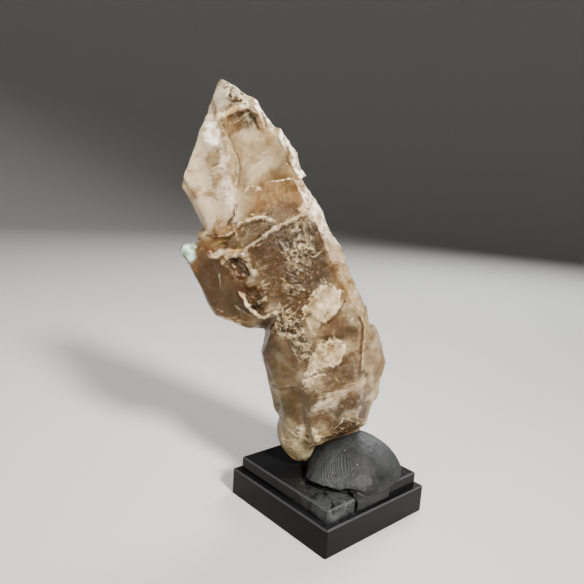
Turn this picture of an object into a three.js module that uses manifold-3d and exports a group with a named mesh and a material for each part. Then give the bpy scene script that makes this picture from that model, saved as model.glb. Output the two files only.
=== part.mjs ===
// Elestial quartz on a stepped black plinth, held in a pad of mounting putty.
// Millimetres, +Z up. The origin is the centre of the plinth's underside, and the crystal's broad face looks
// towards -Y. The crystal leans to the left (-X). It is modelled upright, with its c axis along Z and its point
// at z = 0, so its own z runs from 0 down to about -68, and then it is leaned over and set in place.
import * as THREE from "three";
import { ConvexGeometry } from "three/addons/geometries/ConvexGeometry.js";
import { mergeVertices } from "three/addons/utils/BufferGeometryUtils.js";
import Module from "manifold-3d";

const wasm = await Module();
wasm.setup();

// ---- Driving dimensions ----
const PLINTH = {
  lowerSide: 25.4,
  upperSide: 23.1,
  lowerHeight: 5,
  upperHeight: 2.5,
  chamfer: 0.3,
  turn: 42.1, // degrees about Z, which points one corner at the viewer
};
const PLINTH_TOP = PLINTH.lowerHeight + PLINTH.upperHeight;

const CRYSTAL = {
  tip: [-22.8, 0.4, 74.8], // the crystal's point in the object's frame
  lean: 29, // degrees that the c axis leans to the left of vertical
  front: -6, // y of the broad prism face, in the crystal's own frame
  back: 6,
  right: 5.7, // x of the right-hand prism edge
  strip: 4.2, // x where the narrow right-hand prism face meets the front
};

const PUTTY = {
  centre: [4.4, -1.3],
  radii: [8.7, 9.4],
  height: 7.2,
  lip: 0.5, // the widest ring stands this far above the plinth
  fullness: 1.6, // exponent of the dome's section: 2 is round, 1 a cone
  clearance: 0.3, // gap round the crystal that is bedded in it
  corner: { turn: -2.4, spread: 0.38, reach: 0.24 }, // where the pad was pressed out towards the front left
};

// The smear of putty that runs over the plinth's edge, placed along that edge from its nearer corner.
const SMEAR = {
  from: 6.2,
  to: 14.6,
  inward: 5, // how far it reaches in from the edge over the upper tier
  drop: 2.1, // how far it hangs down the tier's side
  thick: 0.55,
};

const rad = THREE.MathUtils.degToRad;

// ---- Solids ----

// A closed three.js geometry as a manifold-3d solid.
function solidOf(geometry) {
  const bare = geometry.clone();
  bare.deleteAttribute("normal");
  bare.deleteAttribute("uv");
  const merged = mergeVertices(bare, 1e-4);
  return new wasm.Manifold(
    new wasm.Mesh({
      numProp: 3,
      vertProperties: new Float32Array(merged.attributes.position.array),
      triVerts: new Uint32Array(merged.index.array),
    }),
  );
}

// A manifold-3d solid as a three.js geometry with flat faces.
function geometryOf(solid) {
  const { vertProperties, numProp, numVert, triVerts } = solid.getMesh();
  const points = new Float32Array(numVert * 3);
  for (let i = 0; i < numVert; i++) {
    const start = i * numProp;
    points.set(vertProperties.subarray(start, start + 3), i * 3);
  }
  const indexed = new THREE.BufferGeometry()
    .setAttribute("position", new THREE.BufferAttribute(points, 3))
    .setIndex(new THREE.BufferAttribute(new Uint32Array(triVerts), 1));
  const flat = indexed.toNonIndexed();
  flat.computeVertexNormals();
  return flat;
}

const join = (solids) => solids.reduce((all, one) => all.add(one));

// A crystal face. azimuth is 0 towards the viewer, 90 right, 180 back and 270 left; slope tips the face up the
// c axis, 0 on a prism face. The face passes through the point.
function face(azimuth, slope, x, y, z) {
  const [a, s] = [rad(azimuth), rad(slope)];
  const out = Math.cos(s);
  const normal = new THREE.Vector3(Math.sin(a) * out, -Math.cos(a) * out, Math.sin(s));
  return new THREE.Plane().setFromNormalAndCoplanarPoint(normal, new THREE.Vector3(x, y, z));
}

// The convex solid inside every face, with each face moved out by grow.
function convex(faces, grow = 0) {
  const planes = faces.map((f) => new THREE.Plane(f.normal, f.constant - grow));
  const corners = new Map();
  for (let i = 0; i < planes.length; i++) {
    for (let j = i + 1; j < planes.length; j++) {
      for (let k = j + 1; k < planes.length; k++) {
        const p = meeting(planes[i], planes[j], planes[k]);
        if (!p || planes.some((plane) => plane.distanceToPoint(p) > 1e-5)) continue;
        corners.set(p.toArray().map((v) => v.toFixed(3)).join(), p);
      }
    }
  }
  return solidOf(new ConvexGeometry([...corners.values()]));
}

// The point where three planes meet, or nothing where two run alongside each other.
function meeting(a, b, c) {
  const m = new THREE.Matrix3().set(...a.normal, ...b.normal, ...c.normal);
  if (Math.abs(m.determinant()) < 1e-6) return null;
  return new THREE.Vector3(-a.constant, -b.constant, -c.constant).applyMatrix3(m.invert());
}

// ---- Crystal: the main growths, each a list of faces in the crystal's own frame ----

const { front, back, right, strip } = CRYSTAL;

const LEFT_SLOPE = face(270, 46.3, -1, 0, -0.25); // the point's left flank
const RIGHT_SLOPE = face(90, 34.4, 0.2, 0, -0.6); // the point's right flank
const BREAK_RIGHT = face(90, -44, 0, 0, -61.6); // the broken lower end, rising to the right

const mainGrowths = [
  // The prism that carries the rest, from the long ledge down to the broken end. Its turned face low on the
  // right is cut by the break.
  [
    face(0, 0, 0, front, 0),
    face(60, 0, strip, front, 0),
    face(45, -22, 1.4, front, -52),
    face(120, 0, right, -3.1, 0),
    face(90, -14, right, 0, -45),
    face(180, 0, 0, back, 0),
    face(240, 0, -6.5, back, 0),
    face(300, 10, -8.2, front, -43),
    face(0, 62, 0, front, -25.5),
    face(180, 38, 0, back, -20),
    face(0, -55, 0, front, -62.5),
    face(180, -40, 0, back, -54),
    face(270, -78, -6, 0, -66.3),
    BREAK_RIGHT,
  ],
  // The long face above the ledge, which leans back towards the point.
  [
    face(0, 10, 0, -5.35, -25),
    face(58, 5, 3.8, -4.1, -17),
    face(120, 3, 4.6, -2.4, -18),
    face(180, 12, 0, 5.3, -24),
    face(240, 5, -9.5, 4.4, -20),
    face(300, 0, -13.2, -2.2, -17),
    face(0, -90, 0, 0, -36),
    LEFT_SLOPE,
    RIGHT_SLOPE,
  ],
  // The smooth wing at the upper left, turned a little to the left.
  [
    face(345, 11, -8.5, -5.3, -21.3),
    face(300, 0, -13.7, -2.5, -17),
    face(240, 0, -13.95, -2, -17),
    face(180, 8, 0, 3.4, -20),
    face(90, -19.5, -2.7, 0, -8),
    face(0, 60, -3.5, -3, -5.8),
    face(270, -32, -13.7, 0, -19.8),
    face(270, -84, 0, 0, -22.9),
    LEFT_SLOPE,
  ],
  // What shows between the wing and the block below it.
  [
    face(352, 4, -12, -4.1, -22),
    face(300, 0, -15, -3.2, 0),
    face(240, 0, -15.3, -2.7, 0),
    face(180, 0, 0, 4.6, 0),
    face(90, 0, -5, 0, 0),
    face(270, 45, -14.4, 0, -20.2),
    face(0, 74, -12, -4.1, -21.4),
    face(0, -90, 0, 0, -30),
  ],
  // The smooth block that stands out on the left, with an edge thin enough to glow.
  [
    face(355, 0, -8, -6, 0),
    face(303, 0, -18, -4.9, 0),
    face(243, 0, -18.6, -4.4, 0),
    face(180, 0, 0, 4.4, 0),
    face(90, 0, -3, 0, 0),
    face(270, 84, -16, 0, -22.2),
    face(300, 40, -19.2, -4.5, -21.9),
    face(0, 55, -12, -5.5, -23.7),
    face(270, -43, -15.6, 0, -37.4),
    face(270, -14, -18.8, 0, -32.6),
    face(0, -62, -12, -5.7, -39),
    face(180, -30, 0, 4.4, -35),
  ],
  // The rounded lobe below the block.
  [
    face(346, 2, -10, -5.3, -47),
    face(318, 6, -13.8, -4.2, -48),
    face(285, 13, -15, -2.6, -48),
    face(238, 10, -15.2, -1.8, -49),
    face(200, 4, -10, 4.6, -50),
    face(285, 42, -12.9, -2, -43),
    face(90, 0, -4, 0, 0),
    face(0, 90, 0, 0, -38),
    face(350, -25, -12, -4.9, -52),
    face(0, -90, 0, 0, -60),
  ],
  // The lower left of the body, between the lobe and the knob.
  [
    face(352, -2, -10, -4.7, -57),
    face(310, 5, -15.2, -3.9, -56),
    face(280, 10, -16.4, -1.5, -55),
    face(236, 8, -16.2, -0.6, -56),
    face(180, -8, 0, 4.2, -56),
    face(90, 0, -4, 0, 0),
    face(0, 90, 0, 0, -46),
    face(0, -60, -10, -4.6, -63.5),
    face(270, -70, -12, 0, -66.2),
    BREAK_RIGHT,
  ],
  // The pale crystal low on the right, which stands out past the prism edge.
  [
    face(0, 0, 0, front - 0.1, 0),
    face(45, -22, 1.3, front - 0.35, -52),
    face(72, -6, 5.3, -2.9, -52),
    face(118, 0, 5.8, -1.4, -52),
    face(180, 0, 0, 3.6, 0),
    face(270, 0, 0.3, 0, 0),
    face(90, 50, 5.3, 0, -48.4),
    face(30, 40, 4.6, front, -47.8),
    face(0, -50, 3, front, -58),
    face(90, -42, 4.6, 0, -56.9),
  ],
  // The plate at the point, which overhangs the long face.
  [
    face(0, 17, 0, -2.9, -5.2),
    face(50, 20, 2.3, -2.3, -5.2),
    face(310, 18, -3, -2.4, -4),
    face(180, 14, 0, 2.4, -5),
    face(348, -62, -1.3, -2.9, -5.7),
    face(0, -90, 0, 0, -8.4),
    face(270, 46, -1.3, 0, -0.5),
    face(90, 33, 0.4, 0, -0.7),
    face(90, 0, 3.4, 0, 0),
    face(270, 0, -4.6, 0, 0),
    face(270, 76, -0.3, 0, -0.1),
  ],
  // The stepped plate between the two bright ledges.
  [
    face(0, 9, 0, -6.05, -25.6),
    face(25, 42, -1.6, -5.6, -24.6),
    face(346, 48, -7.5, -5.3, -22.6),
    face(90, 10, -0.9, 0, -25),
    face(285, 0, -8.6, -5.6, 0),
    face(180, 0, 0, 0, 0),
    face(0, -90, 0, 0, -27),
  ],
  // Three broad crystals on the back, each with its own point.
  [
    face(180, 2, 0, back + 1.3, -30),
    face(120, 0, 1.2, back + 0.4, -30),
    face(240, 0, -6.4, back + 0.9, -30),
    face(120, 40, 0.9, back, -15),
    face(240, 38, -2.6, back, -13.5),
    face(180, 42, 0, back + 1.2, -17.5),
    face(0, 0, 0, 1, 0),
    face(180, -38, 0, back + 1.2, -44),
    face(240, -40, -4, back, -46),
  ],
  [
    face(184, 1, -8, back + 0.5, -36),
    face(120, 0, -3.5, back, -30),
    face(240, 0, -9.4, back - 0.6, -30),
    face(240, 38, -8.6, back - 1, -28.5),
    face(180, 40, -8, back, -27.5),
    face(0, 0, 0, 0, 0),
    face(180, -36, -8, back, -49),
    face(250, -30, -9, back - 1, -47),
  ],
  [
    face(178, -3, 0, back + 0.7, -54),
    face(112, -4, 2.4, back - 1.4, -54),
    face(244, -2, -8.6, back - 0.6, -54),
    face(180, 41, -2, back, -43),
    face(120, 36, 1.6, back - 1, -44.5),
    face(0, 0, 0, 0, 0),
    face(180, -42, -2, back, -60),
    BREAK_RIGHT,
  ],
];

// A small crystal grown parallel to the rest: a hexagonal prism with a three-faced point at its upper end. x and
// y are the place of its axis, top the height of its point, tail its lower end, wide and deep its size across.
// Its front leans by sink degrees, so that it dies away into the face below.
function sprout({ x, y, top, tail, wide, deep, sink = 0 }) {
  const [w, d] = [wide / 2, deep / 2];
  return [
    face(0, -sink, x, y - d, top),
    face(180, -sink, x, y + d, top),
    ...[60, 120].map((turn) => face(turn, 0, x + w, y, 0)),
    ...[240, 300].map((turn) => face(turn, 0, x - w, y, 0)),
    ...[0, 120, 240].map((turn) => face(turn, 38, x, y, top)),
    face(180, 52, x, y, top + 0.1),
    face(0, -90, 0, 0, tail),
  ];
}

// Steps up the right-hand edge. Each small crystal there stands out as far as reach.
const EDGE_STEPS = [
  { reach: 3.9, top: -4.6, tail: -10 },
  { reach: 4.5, top: -8.4, tail: -14 },
  { reach: 5.5, top: -11, tail: -17.5 },
  { reach: 5.8, top: -14.2, tail: -20.2 },
  { reach: 4.9, top: -18.5, tail: -25 },
  { reach: 5.3, top: -22.9, tail: -30 },
  { reach: 5.9, top: -27.6, tail: -34.5 },
  { reach: 5.9, top: -32, tail: -39 },
  { reach: 5.7, top: -38.5, tail: -44.5 },
];
const edgeSprouts = EDGE_STEPS.map(({ reach, top, tail }, i) => {
  const wide = 2.6 + 0.5 * Math.sin(i * 2.1);
  const spread = 1 + 1.6 * Math.min(1, -top / 20); // the crystal is thinner near its point
  return sprout({
    x: reach - wide / 2,
    y: -0.9 - spread * 0.4 + 0.5 * Math.sin(i * 1.7),
    top: top + 0.4,
    tail,
    wide,
    deep: 1.6 + spread * 1.3,
  });
});

// Low crystals whose points break the long ledge and the cracked middle of the front face.
const FRONT_SPROUTS = [
  { x: 3, top: -24, tail: -30, wide: 2.6, proud: 0.4 },
  { x: 0.9, top: -24.8, tail: -31, wide: 2.3, proud: 0.3 },
  { x: -1.2, top: -25.1, tail: -29, wide: 2.2, proud: 0.45 },
  { x: -3.6, top: -25.4, tail: -30, wide: 2.8, proud: 0.3 },
  { x: -6.3, top: -25.9, tail: -31, wide: 2.6, proud: 0.4 },
  { x: 0.6, top: -29.5, tail: -36, wide: 3.2, proud: 0.35 },
  { x: -1.9, top: -31.5, tail: -38, wide: 2.2, proud: 0.4 },
  { x: -3.6, top: -33.8, tail: -39.5, wide: 1.9, proud: 0.3 },
  { x: 2.6, top: -33.4, tail: -38, wide: 1.8, proud: 0.25 },
  { x: -6.3, top: -41.5, tail: -47, wide: 2.6, proud: 0.4 },
  { x: -7.9, top: -44, tail: -50, wide: 2, proud: 0.3 },
];
const frontSprouts = FRONT_SPROUTS.map(({ x, top, tail, wide, proud }) => {
  const deep = 3;
  return sprout({ x, y: front - proud + deep / 2, top: top + 0.7, tail, wide, deep, sink: 4 });
});

// Low crystals in uneven rows over the back.
const backSprouts = [];
for (let row = 0; row < 4; row++) {
  for (let i = 0; i < 4; i++) {
    const n = row * 4 + i;
    const thinner = row === 0 ? 0.9 : 0;
    backSprouts.push(
      sprout({
        x: Math.min(-8.5 + i * 3.6 + 1.3 * Math.sin(n * 2.3), 1.6),
        y: back - 1 + 0.25 * Math.sin(n * 1.9) - thinner,
        top: -20.5 - row * 9.5 + 2.2 * Math.sin(n * 3.1),
        tail: -29 - row * 9.2,
        wide: 2.4 + 0.6 * Math.sin(n * 1.3),
        deep: 3,
        sink: 3,
      }),
    );
  }
}

// Rounded lumps of crystal: centre, radii, and how many rings of faces each has.
const LUMPS = [
  { at: [-15.9, -0.6, -62.3], radii: [3.2, 3.2, 5.1], rings: 8 }, // the knob at the lower left
  { at: [-14.2, -1.4, -59.8], radii: [3.4, 3, 4.4], rings: 7 },
  { at: [0.6, front + 0.75, -45.7], radii: [3.9, 1.4, 2.6], rings: 8 }, // a smooth lens on the front
  { at: [-17.5, -3.7, -23], radii: [1.45, 1.5, 1.4], rings: 6 }, // the small knob on the block's corner
];

function lump({ at, radii, rings }, grow) {
  const ball = new THREE.SphereGeometry(1, rings * 2, rings);
  ball.scale(...radii.map((r) => r + grow)).translate(...at);
  return solidOf(ball);
}

// Thin plates with a broken outline, [x, z] along it, which stand proud of the front face.
const SCABS = [
  // The upper frosted patch.
  { proud: 0.35, outline: [[0.6, -37.3], [2.3, -38.8], [2.9, -40], [1.9, -42], [0.6, -42.8], [-1.6, -43.5],
    [-2.6, -42.6], [-3.1, -41], [-5, -41.1], [-4.1, -39.6], [-2.6, -38.7], [-0.9, -38]] },
  // The lower frosted patch.
  { proud: 0.55, outline: [[-3.8, -46.6], [-1.7, -46.3], [-0.4, -47.5], [0.2, -48.8], [-1, -50], [-2.9, -51.4],
    [-4.8, -50.9], [-6.6, -51.3], [-8.9, -52.3], [-9.2, -51], [-7.8, -49.3], [-6, -48]] },
  // The long light step across the lower end.
  { proud: 0.45, outline: [[-10.2, -56.4], [-8, -55.5], [-5.2, -55.6], [-2.2, -55.1], [-1, -55.4],
    [-2.5, -56.9], [-5.2, -57.8], [-8, -58.3], [-9.7, -58.8]] },
  // The rim over the upper hollow.
  { proud: 0.3, outline: [[-13.2, -27.7], [-12.9, -26.4], [-11, -26.2], [-9.4, -26.8], [-8.2, -28.2],
    [-8.5, -31.2], [-9.3, -31], [-9.5, -28.7], [-10.2, -27.6], [-11.5, -27.2], [-12.3, -28.2]] },
  // The rim under the lower hollow.
  { proud: 0.35, outline: [[-12.8, -32.8], [-12.1, -33.1], [-11.7, -34.8], [-10.9, -36.7], [-9.2, -37.6],
    [-9.7, -38.7], [-11, -38], [-12.1, -36.2]] },
];

function scab({ proud, outline }) {
  const shape = new THREE.Shape(outline.map(([x, z]) => new THREE.Vector2(x, z)));
  const depth = 2.5;
  const plate = new THREE.ExtrudeGeometry(shape, { depth, bevelEnabled: false });
  plate.rotateX(Math.PI / 2); // the outline's second coordinate becomes the crystal's z
  plate.translate(0, front - proud + depth, 0);
  return solidOf(plate);
}

// Hollows with sloping sides, which quartz leaves when its edges outgrow its faces.
const HOLLOWS = [
  { x: -10.9, z: -29.2, wide: 2.4, tall: 3.8, deep: 0.9 },
  { x: -10.2, z: -35.2, wide: 2.2, tall: 3.6, deep: 0.8 },
  { x: -12.4, z: -24.6, wide: 3.4, tall: 1.5, deep: 1.3 },
];

function hollow({ x, z, wide, tall, deep }) {
  const surface = front + 0.25;
  return convex([
    face(0, 0, 0, front - 1, 0),
    face(180, 0, 0, surface + deep, 0),
    face(120, 0, x + wide / 2, surface, 0),
    face(240, 0, x - wide / 2, surface, 0),
    face(180, 55, x, surface, z + tall / 2),
    face(180, -48, x, surface, z - tall / 2),
  ]);
}

function buildCrystal() {
  const grown = [...mainGrowths, ...edgeSprouts, ...frontSprouts, ...backSprouts].map((faces) => convex(faces));
  const whole = join([...grown, ...LUMPS.map((one) => lump(one, 0)), ...SCABS.map(scab)]);
  return HOLLOWS.reduce((left, one) => left.subtract(hollow(one)), whole);
}

// ---- Putty ----

// The socket that the crystal sits in: the growths that reach the putty, each a little larger.
function buildSocket() {
  const grow = PUTTY.clearance;
  const bedded = [...mainGrowths, ...backSprouts].map((faces) => convex(faces, grow));
  const socket = join([...bedded, ...LUMPS.map((one) => lump(one, grow))]);
  const placing = new THREE.Matrix4()
    .makeRotationY(-rad(CRYSTAL.lean))
    .setPosition(...CRYSTAL.tip);
  return socket.transform(placing.elements);
}

// The pad: a ball warped into a low lumpy dome, whose widest ring overhangs its foot a little.
function buildPad() {
  const ball = new THREE.SphereGeometry(1, 44, 24);
  ball.rotateX(Math.PI / 2);
  const place = ball.attributes.position;
  const p = new THREE.Vector3();
  const power = 2 / PUTTY.fullness;
  const { corner } = PUTTY;
  for (let i = 0; i < place.count; i++) {
    p.fromBufferAttribute(place, i);
    const turn = Math.atan2(p.y, p.x);
    const ring = Math.hypot(p.x, p.y);
    const aside = Math.cos(turn - corner.turn) - 1;
    const pressed = corner.reach * Math.exp((2 * aside) / corner.spread ** 2);
    const lumpy = 1 + 0.035 * Math.sin(3 * turn + 0.6) + 0.02 * Math.sin(5 * turn + 2.1) + pressed;
    const reach = (p.z > 0 ? ring ** power : ring) * lumpy;
    const height = p.z > 0 ? (PUTTY.height - PUTTY.lip) * p.z ** power : 3 * p.z;
    const x = PUTTY.centre[0] + PUTTY.radii[0] * reach * Math.cos(turn);
    const y = PUTTY.centre[1] + PUTTY.radii[1] * reach * Math.sin(turn);
    place.setXYZ(i, x, y, PLINTH_TOP + PUTTY.lip + height);
  }
  return solidOf(ball);
}

// The smear, in the plinth's own frame, where the edge that it crosses runs along y at x = side / 2.
function buildSmear() {
  const { from, to, inward, drop, thick } = SMEAR;
  const edge = PLINTH.upperSide / 2;
  const gap = 0.3;
  const profile = new THREE.Shape([
    new THREE.Vector2(edge - inward, 0),
    new THREE.Vector2(edge + gap, 0),
    new THREE.Vector2(edge + gap, -drop),
    new THREE.Vector2(edge + gap + thick * 0.7, -drop + 0.2),
    new THREE.Vector2(edge + gap + thick, -0.3),
    new THREE.Vector2(edge - 0.4, thick),
    new THREE.Vector2(edge - inward, thick * 1.6),
  ]);
  const sheet = new THREE.ExtrudeGeometry(profile, { depth: to - from, bevelEnabled: false });
  sheet.rotateX(Math.PI / 2);
  sheet.translate(0, to - edge, PLINTH_TOP);
  sheet.rotateZ(rad(PLINTH.turn - 90));
  return solidOf(sheet);
}

function buildPutty() {
  const above = solidOf(new THREE.BoxGeometry(60, 60, 20).translate(0, 0, PLINTH_TOP + 10));
  return buildPad().intersect(above).add(buildSmear()).subtract(buildSocket());
}

// ---- Plinth ----

// A square slab with its upper and upright edges chamfered.
function slab(side, bottom, top) {
  const c = PLINTH.chamfer;
  const half = side / 2;
  const faces = [face(0, -90, 0, 0, bottom), face(0, 90, 0, 0, top)];
  for (let turn = 0; turn < 360; turn += 90) {
    const [a, b] = [rad(turn), rad(turn + 45)];
    const corner = (half - c / 2) * Math.SQRT2;
    faces.push(face(turn, 0, Math.sin(a) * half, -Math.cos(a) * half, 0));
    faces.push(face(turn, 45, Math.sin(a) * half, -Math.cos(a) * half, top - c));
    faces.push(face(turn + 45, 0, Math.sin(b) * corner, -Math.cos(b) * corner, 0));
  }
  return convex(faces);
}

function buildPlinth() {
  const sunk = 1; // the upper tier starts this far inside the lower one
  const lower = slab(PLINTH.lowerSide, 0, PLINTH.lowerHeight);
  const upper = slab(PLINTH.upperSide, PLINTH.lowerHeight - sunk, PLINTH_TOP);
  return lower.add(upper);
}

// ---- Assembly ----

const quartz = new THREE.MeshStandardMaterial({ color: 0xb59a78, roughness: 0.25, metalness: 0 });
const clay = new THREE.MeshStandardMaterial({ color: 0x3d4144, roughness: 0.75, metalness: 0 });
const acrylic = new THREE.MeshStandardMaterial({ color: 0x0b0b0d, roughness: 0.15, metalness: 0 });

// The smallest step that is kept: cuts leave slivers below it.
const FINEST = 0.02;

function named(name, solid, material) {
  const mesh = new THREE.Mesh(geometryOf(solid.simplify(FINEST)), material);
  mesh.name = name;
  return mesh;
}

const crystal = named("crystal", buildCrystal(), quartz);
crystal.position.set(...CRYSTAL.tip);
crystal.rotation.y = -rad(CRYSTAL.lean);

const putty = named("putty", buildPutty(), clay);

const plinth = named("plinth", buildPlinth(), acrylic);
plinth.rotation.z = rad(PLINTH.turn);

const part = new THREE.Group();
part.add(plinth, putty, crystal);
export default part;
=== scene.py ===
# The looks of an elestial quartz on its plinth. Blender works in metres. The crystal's own frame is in mm:
# u to the right, v away from the viewer and w up the c axis, with the point of the crystal at zero.
import math

import bmesh
import bpy
import numpy as np
from mathutils import Matrix, Vector, noise


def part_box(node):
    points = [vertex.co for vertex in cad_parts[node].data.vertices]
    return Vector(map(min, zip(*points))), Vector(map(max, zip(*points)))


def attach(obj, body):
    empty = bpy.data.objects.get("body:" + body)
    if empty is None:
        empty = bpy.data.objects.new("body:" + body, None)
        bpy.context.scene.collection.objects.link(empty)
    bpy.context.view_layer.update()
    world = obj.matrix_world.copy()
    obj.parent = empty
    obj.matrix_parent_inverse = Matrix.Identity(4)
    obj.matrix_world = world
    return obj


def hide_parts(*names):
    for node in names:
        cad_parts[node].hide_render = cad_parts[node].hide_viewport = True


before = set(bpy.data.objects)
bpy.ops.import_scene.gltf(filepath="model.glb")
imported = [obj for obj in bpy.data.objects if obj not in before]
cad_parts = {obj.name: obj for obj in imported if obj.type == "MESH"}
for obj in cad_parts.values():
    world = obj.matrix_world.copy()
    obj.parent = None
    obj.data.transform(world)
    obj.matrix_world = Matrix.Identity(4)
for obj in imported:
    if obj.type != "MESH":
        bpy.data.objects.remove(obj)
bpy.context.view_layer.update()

# ---- Sizes and places ----
MM = 0.001
TIP = np.array([-22.8, 0.4, 74.8])  # the crystal's point, in mm
LEAN = math.radians(29)  # of the c axis, to the left
PLINTH_TOP = 7.5  # mm

EYE = (-0.008954, -0.101744, 0.05841)  # the camera, in metres
EYE_FORWARD = (0, 0.98357, -0.18052)  # 10.4 degrees down
EYE_RIGHT = (0.99778, 0.01203, 0.06553)  # with a roll of 3.8 degrees
LENS = 35.94  # mm
SENSOR = 36  # mm wide
PHOTO = 584  # pixels on each side of the photo

CRYSTAL_VOXEL = 0.24  # mm, the width of the mesh's squares
PUTTY_VOXEL = 0.105  # mm

# ---- Noise and masks on arrays of points ----
ROUGHNESS = 0.8  # of the noises that have several octaves
LACUNARITY = 2.1  # how much finer each octave is than the one before


def ramp(x, low, high):
    """0 below low, 1 above high and a smooth step between them. low may be the larger."""
    t = np.clip((x - low) / (high - low), 0, 1)
    return t * t * (3 - 2 * t)


def mix(a, b, share):
    return a + (b - a) * share


def field(points, size, seed, octaves=1):
    """Smooth noise from about -1 to 1 with lumps about size across. size may be one number or three."""
    shift = Vector((seed * 17.31, seed * 7.13, seed * 3.71))
    scaled = (points / size).tolist()
    if octaves == 1:
        return np.array([noise.noise(Vector(p) + shift) for p in scaled])
    return np.array([noise.fractal(Vector(p) + shift, ROUGHNESS, LACUNARITY, octaves) for p in scaled])


def field_pair(points, size, seed, octaves=1):
    """Two fields side by side, from this seed and the next."""
    return np.stack([field(points, size, seed, octaves), field(points, size, seed + 1, octaves)], axis=1)


def crags(points, size, seed, octaves):
    """Rough noise with sharp crests, with a mean of 0 and a standard deviation of 1."""
    shift = Vector((seed * 3.17, seed * 9.41, seed * 6.23))
    scaled = [Vector(p) + shift for p in (points / size).tolist()]
    out = np.array([noise.ridged_multi_fractal(p, ROUGHNESS, LACUNARITY, octaves, 1.0, 2.0) for p in scaled])
    return (out - out.mean()) / out.std()


def cells(points, size, seed):
    """Distance to the nearest of many scattered centres: scoops with sharp crests."""
    turn = np.array(Matrix.Rotation(seed, 3, Vector((0.6, 0.5, 0.62)).normalized()))
    shift = Vector((seed * 5.17, seed * 11.3, seed * 2.9))
    scaled = ((points / size) @ turn).tolist()
    return np.array([noise.voronoi(Vector(p) + shift)[0][0] for p in scaled])


def terraces(heights):
    """Heights turned into flat steps, one unit apart."""
    level = np.floor(heights)
    return level + ramp(heights - level, 0.42, 0.58)


def distance_to(place, path):
    """Distance of each (u, w) from a path of points."""
    nearest = np.full(len(place), 1e9)
    for a, b in zip(path, path[1:]):
        a, along = np.array(a), np.subtract(b, a)
        t = np.clip(((place - a) @ along) / (along @ along), 0, 1)
        nearest = np.minimum(nearest, np.linalg.norm(place - a - t[:, None] * along, axis=1))
    return nearest


def across(place, path):
    """Distance of each (u, w) from a path, above 0 on its left, and how far it lies past the path's ends."""
    nearest, past = np.full(len(place), 1e9), np.zeros(len(place))
    for a, b in zip(path, path[1:]):
        off, along = place - np.array(a), np.subtract(b, a)
        length = np.linalg.norm(along)
        t = np.clip((off @ along) / length**2, 0, 1)
        away = off - t[:, None] * along
        left = np.where(along[0] * off[:, 1] > along[1] * off[:, 0], 1, -1)
        signed = np.linalg.norm(away, axis=1) * left
        closer = abs(signed) < abs(nearest)
        nearest = np.where(closer, signed, nearest)
        past = np.where(closer, abs(away @ along) / length, past)
    return nearest, past


def nearest_of(place, lines):
    """For the nearest line, in half widths: how far off it is, with a sign for the side, and its strength."""
    off, strength = np.full(len(place), 9.0), np.zeros(len(place))
    for path, width, how_strong in lines.values():
        here = across(place, path)[0] / width
        closer = abs(here) < abs(off)
        off = np.where(closer, here, off)
        strength = np.where(closer, how_strong, strength)
    return np.clip(off, -4, 4), strength * ramp(abs(off), 4, 2.5)


def spot(place, centre, radii, turn):
    """1 inside an ellipse, falling to 0 across its soft rim. turn is in degrees, from u towards w."""
    c, s = math.cos(math.radians(turn)), math.sin(math.radians(turn))
    off = place - np.array(centre)
    reach = np.hypot((off[:, 0] * c + off[:, 1] * s) / radii[0], (off[:, 1] * c - off[:, 0] * s) / radii[1])
    return ramp(reach, 1.5, 0.5)


def depth_in(place, outline):
    """Distance of each (u, w) from a closed outline, above 0 inside it."""
    inside = np.zeros(len(place), bool)
    u, w = place.T
    for (u0, w0), (u1, w1) in zip(outline, [*outline[1:], outline[0]]):
        if w0 == w1:
            continue
        crossed = (w < w0) != (w < w1)
        inside ^= crossed & (u < u0 + (w - w0) / (w1 - w0) * (u1 - u0))
    return distance_to(place, [*outline, outline[0]]) * np.where(inside, 1, -1)


# ---- Meshes ----


def to_crystal(points):
    """From the object's frame, in mm, to the crystal's own."""
    off = points - TIP
    c, s = math.cos(LEAN), math.sin(LEAN)
    return np.stack([off[:, 0] * c + off[:, 2] * s, off[:, 1], off[:, 2] * c - off[:, 0] * s], axis=1)


def on_front(pixels, y):
    """The (u, w) of what the photo shows at each pixel if it lies at this y, in mm, of the object's frame."""
    forward, right = np.array(EYE_FORWARD), np.array(EYE_RIGHT)
    off = (np.array(pixels) / PHOTO - 0.5) * SENSOR / LENS
    rays = forward + off[:, :1] * right - off[:, 1:] * np.cross(right, forward)
    eye = np.array(EYE) / MM
    return to_crystal(eye + rays * (y - eye[1]) / rays[:, 1:2])[:, [0, 2]]


def placed(table, y):
    """The table with the path at the start of each row turned from pixels into (u, w)."""
    return {name: (on_front(path, y), *rest) for name, (path, *rest) in table.items()}


def linked(name, data):
    """A new object in the scene."""
    made = bpy.data.objects.new(name, data)
    bpy.context.scene.collection.objects.link(made)
    return made


def copied(node, name):
    """A new object with a copy of a CAD node's mesh, without materials."""
    piece = linked(name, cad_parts[node].data.copy())
    piece.data.materials.clear()
    return piece


def remeshed(node, voxel, name):
    """A new object: a CAD node's shape as an even mesh of squares about voxel mm wide."""
    piece = copied(node, name)
    remesh = piece.modifiers.new("even", "REMESH")
    remesh.mode = "VOXEL"
    remesh.voxel_size = voxel * MM
    remesh.use_smooth_shade = True
    even = bpy.data.meshes.new_from_object(piece.evaluated_get(bpy.context.evaluated_depsgraph_get()))
    piece.modifiers.clear()
    piece.data = even
    even.name = name
    return piece


def points_of(mesh):
    co = np.empty(len(mesh.vertices) * 3, np.float32)
    mesh.vertices.foreach_get("co", co)
    return co.reshape(-1, 3).astype(float) / MM


def place_points(mesh, points):
    mesh.vertices.foreach_set("co", (points * MM).astype(np.float32).ravel())
    mesh.update()


def normals_of(mesh):
    out = np.empty(len(mesh.vertices) * 3, np.float32)
    mesh.vertex_normals.foreach_get("vector", out)
    return out.reshape(-1, 3).astype(float)


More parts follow.
